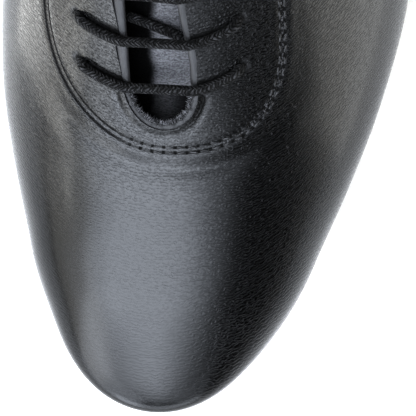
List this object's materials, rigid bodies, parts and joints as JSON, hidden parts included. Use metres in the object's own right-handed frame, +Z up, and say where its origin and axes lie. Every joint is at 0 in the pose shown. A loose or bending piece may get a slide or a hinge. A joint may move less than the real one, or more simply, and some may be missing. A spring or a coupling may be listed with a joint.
{
  "type": "latin dance shoe",
  "caption": "Men's black leather lace-up Latin dance shoe with an almond toe, open throat over a tongue, thin suede sole and a Cuban heel.",
  "frame": {"origin": "centre of the shoe's box on the floor, under the waist", "axes": "toe towards -Y, heel towards +Y, lateral side towards +X, medial side towards -X, +Z up"},
  "size_m": [0.1028, 0.284, 0.1],
  "materials": {
    "upper_leather": "black grained leather, satin",
    "tongue_leather": "dark grey grained leather",
    "sock": "dark leather sock",
    "sole_suede": "brushed suede",
    "heel_stack": "black lacquered stack",
    "top_piece": "matt rubber",
    "lace_cord": "round braided cord"
  },
  "bodies": {
    "root": {"upper": "upper_leather", "tongue": "tongue_leather", "insole": "sock", "outsole": "sole_suede", "heel": "heel_stack", "heel_tip": "top_piece", "lace_bar_1": "lace_cord", "lace_bar_2": "lace_cord", "lace_bar_3": "lace_cord", "lace_bar_4": "lace_cord", "lace_bar_5": "lace_cord", "lace_inner_run": "lace_cord"}
  },
  "joints": []
}
